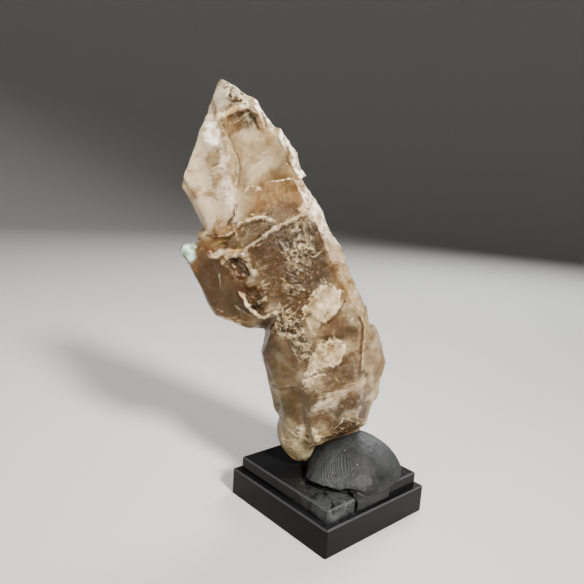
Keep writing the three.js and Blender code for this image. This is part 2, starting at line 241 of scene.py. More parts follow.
def edges_of(mesh):
    ends = np.empty(len(mesh.edges) * 2, np.int32)
    mesh.edges.foreach_get("vertices", ends)
    return ends.reshape(-1, 2)


def blurred(points, edges, rounds, strength):
    """The vertices' points, each moved towards the mean of its neighbours."""
    count = np.bincount(edges.ravel(), minlength=len(points)).astype(float)
    for _ in range(rounds):
        total = np.zeros_like(points)
        np.add.at(total, edges[:, 0], points[edges[:, 1]])
        np.add.at(total, edges[:, 1], points[edges[:, 0]])
        points = points + (total / count[:, None] - points) * strength
    return points


def bulge(points, normals, edges, rounds):
    """How far each point stands out of the surface round it: above 0 on an edge, below 0 in a groove."""
    return ((points - blurred(points, edges, rounds, 0.6)) * normals).sum(axis=1)


def keep(mesh, name, values):
    """Stores one number or one colour at each vertex, for the material to read."""
    kind = "FLOAT_COLOR" if values.ndim > 1 else "FLOAT"
    stored = mesh.attributes.new(name, kind, "POINT")
    if values.ndim > 1:
        rgba = np.column_stack([values, np.ones(len(values))])
        stored.data.foreach_set("color", rgba.astype(np.float32).ravel())
    else:
        stored.data.foreach_set("value", values.astype(np.float32))


# ---- The crystal's features ----
# Paths in pixels were picked on the photo, and placed() turns them into (u, w). The others are (u, w).
FACES_Y = -5.0  # mm, about where the front faces lie
PLATES_Y = -5.6  # mm, where the frosted plates lie

# Thin bright lines, where an edge or a crack catches the light: path in pixels, half width in mm, strength.
LINES = placed({
    "under the tip": ([(246, 105), (257.5, 112)], 0.05, 0.9),
    "smoky patch 1": ([(238, 117), (248.7, 110)], 0.05, 0.8),
    "smoky patch 2": ([(231, 121), (237.5, 118)], 0.04, 0.6),
    "smoky patch 3": ([(250, 111), (252.4, 118.5), (253, 126)], 0.04, 0.6),
    "edge of the wing": ([(218, 120), (225, 135), (231, 150), (237.2, 165), (236, 174.3)], 0.05, 0.45),
    "edge of the wing, low": ([(236, 177), (232.5, 191.3), (232, 202.3), (230, 220.3), (234.8, 230.3)],
                              0.05, 0.5),
    "arc on the wing": ([(209, 170), (217.5, 165.3), (223.7, 167)], 0.06, 0.7),
    "scratch 1": ([(261, 153), (268, 150)], 0.04, 0.8),
    "scratch 2": ([(250, 169), (261, 161)], 0.04, 0.7),
    "bright line": ([(268, 182), (279, 180.6), (291, 179)], 0.08, 1.0),
    "swoosh": ([(244, 192), (248.5, 186), (254, 186), (260.5, 189.5)], 0.08, 0.5),
    "end of the wing": ([(201, 232.5), (212.5, 237.5), (227.5, 235), (235, 231)], 0.06, 0.7),
    "ledge A": ([(235.5, 225), (242, 222), (251, 219), (258, 217), (267, 217), (273, 220),
                 (278, 225)], 0.07, 0.6),
    "ledge A, left": ([(241, 244), (238, 238), (234, 229), (229, 227)], 0.05, 0.5),
    "ledge B": ([(305.5, 209.5), (298, 216), (286.7, 221), (280, 224), (275.5, 227), (269, 231), (260, 239.5),
                 (253, 243), (245.5, 249.5)], 0.08, 0.6),
    "hollow's upper edge": ([(222.5, 264.3), (228.3, 256.5), (240, 257), (248, 259.5), (251, 266),
                             (253, 273)], 0.06, 0.6),
    "in the hollow": ([(241, 260.5), (248, 267), (251.5, 275)], 0.05, 0.8),
    "long crack": ([(279, 240.5), (298, 260.5)], 0.04, 0.9),
    "short crack 1": ([(254.5, 271.7), (268, 264)], 0.04, 0.7),
    "short crack 2": ([(302, 254), (312, 245)], 0.04, 0.8),
    "short crack 3": ([(313, 257), (323, 248)], 0.04, 0.7),
    "short crack 4": ([(264.5, 257), (272, 254)], 0.04, 0.6),
    "blade mark 1": ([(215.5, 266), (220, 273), (221, 278.5)], 0.04, 0.6),
    "blade mark 2": ([(216.7, 272.8), (220, 278.7), (221, 286.5)], 0.06, 0.7),
    "rim of the lower hollow": ([(270, 314), (266.7, 317.8), (255.5, 312.8), (249, 306), (245.5, 298),
                                 (240.5, 292.8)], 0.08, 0.6),
    "fan 1": ([(256.7, 287), (264.5, 279.5)], 0.05, 0.9),
    "fan 2": ([(257, 288), (269, 281.7)], 0.05, 0.9),
    "fan 3": ([(257, 289.4), (270.6, 286)], 0.04, 0.8),
    "right of the hollow": ([(260, 291.7), (266.7, 297), (271, 300.5)], 0.08, 0.5),
    "chip 1": ([(280, 305), (275.5, 312.8), (279, 316)], 0.09, 0.5),
    "chip 2": ([(286.7, 311.7), (292, 305)], 0.05, 0.8),
    "lower edge": ([(283, 321.7), (292, 325), (294.5, 320.5), (302, 318)], 0.09, 0.5),
    "rim of the block": ([(186.7, 256), (192.5, 272.8), (205, 298), (213.4, 311.5), (224.5, 318.4),
                          (240, 324)], 0.09, 0.6),
    "edge of the bump": ([(357, 305), (361.7, 315), (365, 327), (362.8, 341.7), (362.8, 360.5),
                          (360.5, 376)], 0.06, 0.5),
    "zigzag": ([(327, 376), (330.5, 379), (336, 375)], 0.04, 0.6),
    "bright crack": ([(336, 426), (341.7, 420.5), (342.8, 416), (353.9, 420.5), (360.5, 426)], 0.05, 0.8),
    "foot": ([(318, 435), (327, 437), (340.5, 437), (349.5, 432.8)], 0.08, 0.8),
    "under the lobe": ([(270.5, 385), (278, 389.5), (289.5, 387), (298, 387), (307, 390.5)], 0.05, 0.4),
    "knob 2": ([(283, 430), (290, 434), (298, 440)], 0.06, 0.45),
    "knob 3": ([(287, 449), (296, 454), (306, 454), (314, 447)], 0.06, 0.45),
    "knob 4": ([(296, 428), (302, 436), (300, 446)], 0.06, 0.45),
    "layer 1": ([(235, 306), (250, 315), (262, 319)], 0.05, 0.5),
    "layer 2": ([(225, 317), (245, 322), (262, 327)], 0.05, 0.4),
    "layer 3": ([(213, 307), (222, 311), (228, 309)], 0.05, 0.6),
    "stroke 1": ([(280, 302), (275, 311), (268, 315)], 0.04, 0.7),
    "stroke 2": ([(283, 308), (290, 302)], 0.04, 0.7),
    "stroke 3": ([(292, 315), (300, 305)], 0.04, 0.7),
    "stroke 4": ([(287, 318), (296, 312)], 0.04, 0.7),
    "on the bump": ([(377, 325), (383, 343), (389, 362)], 0.05, 0.6),
    "knob": ([(282.8, 445), (295, 444), (307, 445), (316, 436)], 0.06, 0.45),
}, FACES_Y)

# How far the surface on the left of a line stands above the right, in mm.
STEPS = {
    "edge of the wing": -0.08,
    "edge of the wing, low": -0.08,
    "bright line": 0.15,
    "end of the wing": 0.3,
    "ledge A": 0.3,
    "ledge A, left": 0.25,
    "ledge B": 0.35,
    "hollow's upper edge": 0.3,
    "rim of the lower hollow": 0.25,
    "lower edge": 0.2,
    "edge of the bump": 0.12,
    "bright crack": 0.2,
}

# Rough white ridges along some of the lines: half width in mm, how white.
RIDGES = {
    "ledge A": (0.22, 0.46),
    "ledge A, left": (0.12, 0.37),
    "ledge B": (0.26, 0.49),
    "hollow's upper edge": (0.19, 0.42),
    "in the hollow": (0.15, 0.42),
    "rim of the lower hollow": (0.19, 0.49),
    "right of the hollow": (0.19, 0.42),
    "chip 1": (0.15, 0.42),
    "lower edge": (0.19, 0.49),
    "foot": (0.15, 0.37),
    "swoosh": (0.15, 0.31),
}

# Frosted plates: outline in pixels, how white, how far it stands out in mm.
FROSTED = placed({
    "upper patch": ([(321.3, 283.9), (334.2, 287.8), (340, 292.5), (340, 306), (336, 312), (329.4, 317.4),
                     (323.7, 322.7), (318.9, 322.2), (311, 311.7), (299.8, 316.5), (301.7, 307.8),
                     (306.5, 301), (317, 288.7)], 0.8, 0.12),
    "lower patch": ([(320.5, 343), (332, 337.5), (341, 341), (347, 345), (344, 353), (337, 365), (325, 366),
                     (314, 370), (305, 376), (306, 366), (312, 356)], 0.9, 0.15),
}, PLATES_Y)

# Pale places: the same, with the outline as (u, w).
PALE_PLACES = {
    "below it": ([(-9.4, -51.4), (-8.1, -51.1), (-5.2, -51.4), (-5.6, -51.9), (-7.2, -51.9), (-8.6, -52.8),
                  (-9.6, -52.4)], 0.85, 0.1),
    "knob": ([(-13.9, -58.9), (-11.8, -59.3), (-10.9, -61.0), (-11.5, -63.8), (-12.9, -64.1), (-14.6, -60.9)],
             0.6, 0.1),
    "fan at the right": ([(1.0, -25.6), (3.2, -24.2), (5.2, -22.4), (5.8, -30.5), (5.0, -31.6), (4.5, -28.8),
                          (3.2, -26.4)], 0.5, 0.05),
}

# Thin dark cracks, and painted shade in corners and under ledges: path, half width in mm, strength.
CRACKS_AND_SHADE = {
    "under the tip band": ([(-4.8, -5.2), (-3.3, -6.2), (-1.7, -6.6), (0.4, -6.5), (1.8, -6.7)], 0.14, 0.35),
    "beside the wing": ([(-2.9, -7.0), (-2.9, -8.8), (-3.0, -11.3), (-3.2, -14.0), (-5.0, -16.6)], 0.10, 0.5),
    "under the wing": ([(-8.9, -21.6), (-7.6, -20.8), (-6.9, -19.5)], 0.26, 0.9),
    "end of the wing": ([(-13.6, -21.6), (-12.4, -23.1), (-10.1, -23.8), (-8.9, -23.7)], 0.16, 0.6),
    "under ledge A": ([(-7.9, -23.0), (-5.4, -23.2), (-4.0, -23.4), (-2.9, -24.1), (-2.6, -24.9)], 0.2, 0.7),
    "over ledge B": ([(-7.8, -26.1), (-5.5, -25.8), (-3.5, -25.2), (-2.4, -25.1)], 0.16, 0.7),
    "under ledge B": ([(-6.4, -27.0), (-2.6, -26.3), (-0.6, -26.1), (3.0, -26.0)], 0.2, 0.6),
    "in the hollow": ([(-12.2, -27.5), (-11.2, -27.3), (-10.0, -28.2), (-9.6, -30.6)], 0.3, 0.8),
    "in the lower hollow": ([(-11.4, -34.2), (-11.3, -36.0), (-10.4, -37.8)], 0.3, 0.8),
    "over the lobe": ([(-12.6, -42.8), (-9.6, -41.9), (-7.6, -42.4)], 0.26, 0.7),
    "under the lobe": ([(-14.6, -50.8), (-13.4, -51.8), (-11.6, -52.2)], 0.2, 0.6),
    "under the lower patch": ([(-7.4, -51.1), (-5.3, -51.2), (-3.5, -52.1), (-1.0, -51.0)], 0.18, 0.7),
    "beside the bump": ([(4.1, -45.4), (3.6, -47.6), (2.2, -50.0), (1.0, -52.8), (-0.4, -55.4)], 0.22, 0.8),
    "pit by the bump": ([(0.7, -54.4), (0.9, -55.4)], 0.35, 0.9),
    "under the upper patch": ([(-2.6, -44.0), (-0.4, -43.7), (1.4, -43.0), (3.0, -41.6)], 0.2, 0.7),
    "left of the lens": ([(-3.4, -45.6), (-2.0, -46.2), (-0.2, -47.0)], 0.2, 0.7),
    "upper patch, left": ([(-3.0, -39.4), (-2.2, -37.6), (-0.6, -36.6), (1.0, -36.6)], 0.16, 0.5),
    "pits in the tip 1": ([(0.5, -2.4), (0.0, -3.3), (0.3, -4.3)], 0.16, 0.7),
    "pits in the tip 2": ([(0.8, -4.0), (1.2, -4.9)], 0.14, 0.7),
    "bright crack's shade": ([(-7.4, -62.1), (-6.0, -61.7), (-4.9, -62.4)], 0.3, 0.8),
    "foot": ([(-11.0, -62.4), (-8.6, -64.0), (-6.0, -64.2)], 0.3, 0.8),
}

# Crazed places, broken in small shards: centre, radii, turn, strength.
CRAZED = [
    ((-0.6, -31.0), (3.0, 4.2), -20, 0.9),
    ((-6.2, -13.6), (1.0, 8.6), -14, 0.45),
    ((-13.6, -60.6), (1.6, 2.6), 0, 0.7),
    ((1.8, -28.2), (2.6, 2.4), 0, 0.8),
    ((-3.6, -35.6), (2.4, 2.6), 0, 0.7),
    ((-7.4, -41.6), (2.4, 3.6), 15, 0.9),
    ((-7.0, -46.2), (1.7, 3.0), 0, 1.0),
    ((-8.6, -29.9), (1.0, 2.0), 0, 0.7),
    ((-8.7, -35.6), (0.9, 2.4), 0, 0.7),
    ((-6.2, -24.2), (2.6, 1.0), 10, 0.5),
    ((-6.0, -62.6), (3.6, 1.8), 10, 0.6),
    ((2.0, -7.8), (1.6, 1.8), 0, 0.35),
    ((1.4, -3.0), (2.4, 3.2), 0, 0.9),
    ((4.8, -12.0), (1.4, 5.0), 0, 0.35),
    ((1.0, -21.6), (4.6, 2.2), 10, 0.3),
]

# Places where the edges between faces are worn smooth: centre, radii, turn.
WORN_ROUNDS = 50  # of blurring
WORN = [
    ((-10.2, -54.0), (2.4, 6.0), 0),
    ((-12.6, -18.4), (2.0, 5.0), 30),
]

# Places with fine strokes across the c axis: centre, radii, turn, strength.
COMBED = [
    ((-1.6, -52.6), (4.6, 3.0), 20, 1.0),
    # Here the pale strokes also add painted glints to the sheen band, besides their relief.
    ((-6.2, -56.8), (4.2, 1.2), 5, 1.0),
    ((-7.6, -15.6), (2.6, 3.0), -20, 0.45),
    ((-3.6, -24.6), (4.0, 1.6), 8, 0.35),
    ((-7.0, -54.0), (2.6, 2.0), 10, 0.6),
]

# Kinds of quartz, and some painted shade, sheen and glint: colour, and how much light it lets through.
PALE = ((0.80, 0.66, 0.46), 0.60)
CREAM = ((0.80, 0.68, 0.48), 0.30)
WHITE = ((0.98, 0.96, 0.93), 0.1)
GREY = ((0.30, 0.275, 0.23), 0.45)
BEIGE = ((0.46, 0.34, 0.18), 0.70)
PINKISH = ((0.48, 0.32, 0.19), 0.60)
GOLD = ((0.42, 0.26, 0.09), 0.75)
AMBER = ((0.52, 0.31, 0.11), 0.50)
RUST = ((0.36, 0.12, 0.02), 0.5)
BROWN = ((0.125, 0.064, 0.006), 0.92)
TAWNY = ((0.215, 0.128, 0.030), 0.90)
HONEY = ((0.36, 0.265, 0.14), 0.65)
# A painted shadow, for the slot under the end of the wing.
SLOT_SHADOW = ((0.06, 0.010, 0.003), 0.3)
# A painted sheen: a soft bright band of reflected light.
PAINTED_SHEEN = ((0.60, 0.52, 0.42), 0.45)
# Painted shade, for hollows and recesses.
DEEP_HOLLOW_SHADE = ((0.035, 0.010, 0.003), 0.5)
SMOKE = ((0.050, 0.034, 0.016), 0.62)
OLIVE = ((0.088, 0.058, 0.010), 0.80)
GREENISH = ((0.30, 0.265, 0.165), 0.65)
LOBE = ((0.185, 0.13, 0.050), 0.85)
# A painted glint, bluish white.
TURQUOISE_GLINT = ((0.42, 0.78, 0.76), 0.2)

# Broad raised bands: path, half width, height in mm, kind.
BANDS = {
    "tip band": ([(-4.9, -4.8), (-3.2, -5.4), (-1.2, -5.5), (0.6, -5.4), (1.8, -5.7)], 0.75, 0.28, CREAM),
    "golden rim": ([(-11.8, -26.2), (-10.6, -25.9), (-9.2, -26.5)], 0.45, 0.2, AMBER),
    "hollow's rim": ([(-12.4, -33.0), (-12.0, -34.4), (-12.1, -35.7), (-11.6, -37.2), (-10.2, -38.5)],
                     0.5, 0.2, PALE),
}

# Where each kind shows: centre, radii, turn, kind, strength. Later ones lie over earlier ones.
TINTS = [
    ((-9.0, -12.0), (6.5, 11.0), -25, PALE, 0.95),
    ((-0.5, -11.5), (5.5, 8.0), 0, BEIGE, 0.9),
    ((0.5, -2.2), (3.8, 3.4), 0, GREY, 0.9),
    ((1.4, -8.0), (2.4, 2.0), -10, SMOKE, 0.85),
    ((0.6, -10.2), (2.2, 1.2), 0, PALE, 0.5),
    # Painted highlight: the wing's white patch, where it reflects the light.
    ((-5.2, -7.5), (1.2, 2.3), -12, WHITE, 1.0),
    # The strip on the wing's right edge: partly frost, partly painted highlight where it faces the light.
    ((-5.9, -13.6), (0.8, 7.0), -14, WHITE, 0.4),
    ((-6.4, -10.6), (2.0, 1.3), 20, BEIGE, 0.9),
    ((-8.9, -9.5), (0.6, 0.7), 0, RUST, 0.8),
    ((-1.8, -13.0), (1.5, 1.5), 0, PINKISH, 0.6),
    ((-0.6, -15.6), (3.0, 1.4), 20, PALE, 0.5),
    ((2.6, -12.0), (1.0, 3.0), 10, GOLD, 0.3),
    ((-3.6, -20.4), (1.8, 1.2), 0, PINKISH, 0.6),
    ((0.5, -21.3), (5.4, 3.4), 10, GOLD, 0.8),
    # Painted shade in the corner of the step above ledge B.
    ((-0.9, -23.6), (2.6, 0.9), 10, BROWN, 0.4),
    ((-5.0, -24.4), (3.4, 1.3), 8, SMOKE, 0.7),
    ((-12.0, -23.8), (3.8, 2.2), 0, GOLD, 0.9),
    ((-10.2, -25.0), (2.2, 1.4), 0, TAWNY, 0.9),
    ((-15.0, -31.5), (4.8, 8.4), 12, BROWN, 0.95),
    ((-15.2, -31.0), (2.2, 3.6), 12, TAWNY, 0.8),
    ((-17.8, -25.5), (1.2, 1.4), 0, RUST, 0.3),
    ((-12.5, -38.8), (5.0, 1.6), -32, TAWNY, 0.95),
    ((-5.5, -31.0), (4.8, 6.4), 0, TAWNY, 0.9),
    ((0.0, -31.5), (5.4, 6.8), 0, BROWN, 0.95),
    ((-11.4, -26.3), (1.8, 1.0), 0, GOLD, 0.9),
    # Painted shadow in the slot under the end of the wing.
    ((-13.4, -25.9), (1.3, 0.9), 0, BROWN, 0.95),
    ((-13.2, -24.7), (2.0, 0.8), -35, SLOT_SHADOW, 0.95),
    # Painted shade in the two hollows.
    ((-11.0, -29.2), (1.9, 2.8), 0, DEEP_HOLLOW_SHADE, 0.95),
    ((-10.1, -35.9), (0.9, 1.9), 10, DEEP_HOLLOW_SHADE, 0.9),
    ((-5.0, -38.6), (5.0, 2.6), 20, TAWNY, 0.85),
    ((4.2, -38.0), (1.4, 4.5), 0, GOLD, 0.7),
    ((0.6, -45.7), (3.6, 2.2), 5, TAWNY, 0.6),
    # Painted shade in the recess beside the lens.
    ((-1.2, -44.6), (0.9, 1.6), 20, DEEP_HOLLOW_SHADE, 0.4),
    ((-12.2, -47.2), (3.6, 5.0), 0, LOBE, 0.9),
    ((-12.2, -43.6), (1.8, 1.6), 0, BROWN, 0.7),
    ((-7.4, -45.0), (2.0, 4.0), 0, SMOKE, 0.6),
    ((-12.0, -55.5), (4.8, 4.2), 0, OLIVE, 0.9),
    ((-2.8, -53.2), (3.8, 2.6), 15, TAWNY, 0.9),
    ((3.6, -51.8), (2.4, 5.0), -12, BEIGE, 0.8),
    ((3.6, -55.6), (1.6, 1.4), 0, GOLD, 0.5),
    # The painted sheen, a soft bright band low on the front.
    ((-6.6, -56.7), (4.2, 1.1), 12, PAINTED_SHEEN, 0.85),
    ((-4.2, -60.0), (5.6, 3.0), 10, SMOKE, 0.95),
    ((-7.0, -63.4), (3.0, 1.6), 20, BROWN, 0.8),
    ((-15.6, -63.0), (4.0, 5.0), 0, GREENISH, 0.9),
    # Painted glint on the small facet at the block's top left corner.
    ((-17.7, -22.7), (1.5, 1.3), 0, TURQUOISE_GLINT, 0.95),
]


# ---- Materials ----


class Shader:
    """A material, built node by node. A socket's value may be one or more numbers or a node's output."""

    def __init__(self, name):
        self.material = bpy.data.materials.new(name)
        self.material.use_nodes = True
        self.tree = self.material.node_tree
        self.tree.nodes.clear()
        self.output = self.tree.nodes.new("ShaderNodeOutputMaterial")

    def add(self, kind, inputs=None, out=0, **settings):
        node = self.tree.nodes.new("ShaderNode" + kind)
        for key, value in settings.items():
            setattr(node, key, value)
        for key, value in (inputs or {}).items():
            self.plug(node.inputs[key], value)
        return node.outputs[out]

    def plug(self, socket, value):
        if isinstance(value, bpy.types.NodeSocket):
            self.tree.links.new(value, socket)
        elif socket.type == "RGBA" and len(value) == 3:
            socket.default_value = (*value, 1)
        else:
            socket.default_value = value

    def mapped(self, scale=(1, 1, 1), turn=0.0):
        """The crystal's own directions, in mm, turned in its front face and each stretched by scale."""
        place = self.add("TexCoord", out=3)
        sockets = {"Vector": place, "Rotation": (0, LEAN + turn, 0), "Scale": (1000, 1000, 1000)}
        return self.add("Mapping", {"Vector": self.add("Mapping", sockets), "Scale": scale})

    def shards(self, vector, scale):
        """Cells with straight edges: the distance in from a cell's edge, and a number for each cell."""
        sockets = {"Vector": vector, "Scale": scale}
        edge = self.add("TexVoronoi", sockets, feature="DISTANCE_TO_EDGE")
        return edge, self.add("TexVoronoi", sockets, out=1, feature="F1")

    def noise(self, vector, scale, detail, rough, bent=0.0):
        sockets = {"Vector": vector, "Scale": scale, "Detail": detail, "Roughness": rough, "Distortion": bent}
        return self.add("TexNoise", sockets)

    def noise_colour(self, vector, scale):
        return self.add("TexNoise", {"Vector": vector, "Scale": scale, "Detail": 3}, out=1)

    def plus(self, a, b, clamp=False):
        return self.add("Math", {0: a, 1: b}, operation="ADD", use_clamp=clamp)

    def minus(self, a, b):
        return self.add("Math", {0: a, 1: b}, operation="SUBTRACT")

    def times(self, a, b):
        return self.add("Math", {0: a, 1: b}, operation="MULTIPLY")

    def larger(self, a, b):
        return self.add("Math", {0: a, 1: b}, operation="MAXIMUM")

    def size_of(self, value):
        return self.add("Math", {0: value}, operation="ABSOLUTE")

    def span(self, value, low, high, to_low=0.0, to_high=1.0):
        sockets = {"Value": value, "From Min": low, "From Max": high, "To Min": to_low, "To Max": to_high}
        return self.add("MapRange", sockets)

    def blend(self, a, b, share, how="MIX"):
        return self.add("Mix", {"Factor": share, 6: a, 7: b}, out=2, data_type="RGBA", blend_type=how)

    def stored(self, name, out=2):
        return self.add("Attribute", out=out, attribute_name=name)

    def surface(self, **sockets):
        """The Principled shader, with its sockets' names written with _ for a space."""
        named = {key.replace("_", " "): value for key, value in sockets.items()}
        self.plug(self.output.inputs["Surface"], self.add("BsdfPrincipled", named))
        return self.material


# The quartz's own numbers and colours.
QUARTZ_IOR = 1.544
GLOSS_TINT = (0.95, 0.84, 0.68)  # keeps the reflections of the pale studio from greying the browns
ABSORPTION = (0.76, 0.57, 0.26)
ABSORPTION_DENSITY = 420.0  # per metre
GLOW_RADIUS = (1.0, 0.72, 0.42)  # how far red, green and blue light spreads under the skin, as shares
GLOW_SCALE = 1.8 * MM
CLOUD = (0.82, 0.70, 0.50)
STAIN = (0.34, 0.18, 0.05)
CLOUD_SHADE = (0.55, 0.44, 0.32)
VEIL = (0.84, 0.74, 0.56)
PALE_STROKE = (0.86, 0.76, 0.58)
DARK_STROKE = (0.30, 0.20, 0.11)
GAP = (0.055, 0.027, 0.005)
SHARD = (0.60, 0.46, 0.26)
SHARD_EDGE = (0.90, 0.82, 0.64)
SKIN_PIT = (0.13, 0.09, 0.05)
SKIN_GRAIN = (0.62, 0.51, 0.34)
SKIN_SHADE = (0.55, 0.48, 0.38)
SKIN_CREASE = (0.28, 0.21, 0.13)
SKIN_RIM_HIGHLIGHT = (0.84, 0.75, 0.56)
SEAM_AND_SHADE = (0.10, 0.06, 0.03)
LINE_GLOW = (0.70, 0.57, 0.38)
BRIGHT_LINE = (0.84, 0.74, 0.55)


def quartz_material():
    shader = Shader("smoky_quartz")
    place = shader.mapped()
    clear = shader.stored("clear")
    crazed = shader.stored("crazed")
    combed = shader.stored("combed")
    bright = shader.stored("bright")
    cloud = shader.noise(place, 0.32, 4, 0.55, 0.8)
    blotch = shader.noise(place, 1.0, 6, 0.66, 0.5)
    grain = shader.noise(place, 1.9, 6, 0.72, 0.3)
    patches = shader.noise(place, 0.6, 6, 0.7)

    # Frosted plates with torn outlines.
    plate = shader.plus(shader.stored("plate"), shader.span(blotch, 0.3, 0.7, -0.45, 0.45))
    plate = shader.plus(plate, shader.span(grain, 0.35, 0.65, -0.3, 0.3))
    frost = shader.times(shader.span(plate, -0.05, 0.08), shader.stored("white"))
    frost = shader.times(frost, shader.span(patches, 0.42, 0.54, 0.3, 1))
    frost = shader.times(frost, shader.span(plate, 1.4, 0.1, 0.7, 1))
    rim = shader.times(frost, shader.span(plate, 0.28, 0.08))
    torn = shader.larger(crazed, shader.times(frost, 0.6))

    # Thin bright lines as painted highlights, and thin dark cracks with painted shade in corners.
    ragged = shader.span(grain, 0.35, 0.65, -1.3, 1.1)
    off = shader.plus(shader.size_of(shader.stored("edge")), ragged)
    thin = shader.times(bright, shader.span(blotch, 0.40, 0.56, 0.08, 1))
    thin = shader.times(shader.span(off, 1.3, 0.2), thin)
    glow = shader.times(shader.span(off, 4.0, 0.5, 0, 0.08), bright)
    seam_and_shade = shader.plus(shader.size_of(shader.stored("crack")), ragged)
    seam_and_shade = shader.times(shader.span(seam_and_shade, 1.5, 0.3), shader.stored("dark"))

    # Cloudy colour, with finer veils and strokes than the mesh carries.
    dense = shader.minus(1.15, clear)
    paler = shader.times(shader.span(cloud, 0.52, 0.70), dense)
    colour = shader.blend(shader.stored("tint", out=0), CLOUD, paler)
    colour = shader.blend(colour, STAIN, shader.times(shader.span(cloud, 0.50, 0.40, 0, 0.25), clear))
    colour = shader.blend(colour, CLOUD_SHADE, shader.span(cloud, 0.50, 0.34), "MULTIPLY")
    veil = shader.larger(torn, shader.span(dense, 0.2, 0.9))
    veil = shader.times(shader.span(blotch, 0.54, 0.70, 0, 0.5), veil)
    colour = shader.blend(colour, VEIL, veil)
    combing = shader.noise(shader.mapped((0.25, 0.8, 3.4), -0.12), 1.2, 5, 0.7, 0.3)
    pale_strokes = shader.times(shader.span(combing, 0.55, 0.66), shader.span(combed, 0, 1, 0.04, 0.8))
    dark_strokes = shader.times(shader.span(combing, 0.46, 0.38), combed)
    colour = shader.blend(colour, PALE_STROKE, pale_strokes)
    colour = shader.blend(colour, DARK_STROKE, dark_strokes, "MULTIPLY")

    # Crazed places: small shards, some light and some dark, between thin bright edges.
    tilted = shader.mapped((0.9, 0.5, 1.3), -0.7)
    bent = shader.add("VectorMath", {0: tilted, 1: shader.noise_colour(place, 0.9)}, operation="ADD")
    edge, shard = shader.shards(bent, 1.2)
    broken = shader.plus(crazed, shader.span(blotch, 0.35, 0.65, -0.5, 0.5))
    broken = shader.times(shader.span(broken, 0.48, 0.66), shader.span(crazed, 0.1, 0.7))
    crack = shader.times(shader.span(edge, 0.07, 0.02), shader.span(grain, 0.46, 0.56))
    crack = shader.times(crack, broken)
    light = shader.times(shader.span(shard, 0.62, 0.66, 0, 0.3), broken)
    gaps = shader.times(shader.span(shard, 0.50, 0.44, 0, 0.85), broken)
    colour = shader.blend(shader.blend(colour, GAP, gaps), SHARD, light)
    colour = shader.blend(colour, SHARD_EDGE, shader.times(crack, 0.45))

    # Frosted skin: cream grains with darker pits between them.
    crease = shader.size_of(shader.minus(shader.noise(place, 0.9, 6, 0.62, 0.2), 0.5))
    skin = shader.blend(SKIN_PIT, SKIN_GRAIN, shader.span(grain, 0.42, 0.60))
    skin = shader.blend(skin, SKIN_SHADE, shader.span(blotch, 0.56, 0.42), "MULTIPLY")
    skin = shader.blend(skin, SKIN_CREASE, shader.span(crease, 0.030, 0.010), "MULTIPLY")
    # A painted highlight along the plates' rims, where their edges catch the light.
    skin = shader.blend(skin, SKIN_RIM_HIGHLIGHT, shader.times(rim, shader.span(blotch, 0.44, 0.54, 0.2, 0.9)))
    colour = shader.blend(colour, skin, frost)
    # Darker along the cracks, with painted shade in corners and under ledges.
    colour = shader.blend(colour, SEAM_AND_SHADE, seam_and_shade, "MULTIPLY")
    # Painted highlights: the thin bright lines, with a faint painted glow round them.
    colour = shader.blend(shader.blend(colour, LINE_GLOW, glow), BRIGHT_LINE, thin)

    # Relief: growth lines across the c axis, scratches, grains, creases, strokes, shards and cracks.
    growth = shader.noise(shader.mapped((0.22, 0.4, 2.2)), 0.8, 3, 0.5)
    finer = shader.noise(shader.mapped((0.4, 0.8, 3.0)), 1.6, 4, 0.6)
    scratches = shader.noise(shader.mapped((0.5, 1.0, 7.0), 0.1), 1.0, 3, 0.6)
    relief = shader.plus(shader.plus(growth, finer), shader.times(shader.span(scratches, 0.62, 0.68), 0.15))
    relief = shader.plus(relief, shader.times(grain, shader.span(frost, 0, 1, 0.03, 1.2)))
    relief = shader.minus(relief, shader.times(crease, shader.span(torn, 0, 1, 0.5, 2.2)))
    relief = shader.plus(relief, shader.times(combing, shader.span(combed, 0, 1, 0, 3)))
    relief = shader.plus(relief, shader.times(shader.plus(crack, thin), 0.3))
    relief = shader.plus(relief, shader.times(shader.times(shard, broken), 0.9))
    relief = shader.minus(relief, shader.times(seam_and_shade, 0.8))
    bump = shader.add("Bump", {"Height": relief, "Strength": 0.9, "Distance": 0.16 * MM})

    # What is frosted or broken is rougher and lets less light through.
    chalky = shader.larger(frost, shader.times(shader.larger(shader.larger(thin, crack), light), 0.6))
    rough = shader.span(chalky, 0, 1, 0.06, 0.36)
    rough = shader.plus(rough, shader.span(blotch, 0.4, 0.7, -0.03, 0.06), clamp=True)
    through = shader.times(clear, shader.span(chalky, 0, 0.6, 1, 0.1))
    smoky = shader.add("VolumeAbsorption", {"Color": ABSORPTION, "Density": ABSORPTION_DENSITY})
    shader.plug(shader.output.inputs["Volume"], smoky)
    return shader.surface(
        Base_Color=colour,
        Roughness=rough,
        IOR=QUARTZ_IOR,
        Specular_IOR_Level=0.2,
        Specular_Tint=GLOSS_TINT,
        Transmission_Weight=through,
        Subsurface_Weight=0.6,
        Subsurface_Radius=GLOW_RADIUS,
        Subsurface_Scale=GLOW_SCALE,
        Normal=bump,
    )


# Colours of the putty and of the plinth's plastic.
PUTTY_DARK = (0.004, 0.0045, 0.005)
PUTTY_LIGHT = (0.014, 0.015, 0.016)
PUTTY_RIDGE_HIGHLIGHT = (0.034, 0.037, 0.039)
PUTTY_SHADOW = (0.002, 0.002, 0.002)
CRUMB = (0.45, 0.42, 0.34)
BLACK = (0.004, 0.004, 0.0045)
CHAMFER_BLACK = (0.03, 0.03, 0.033)
GREASE = (0.045, 0.049, 0.051)
DUST = (0.5, 0.48, 0.44)


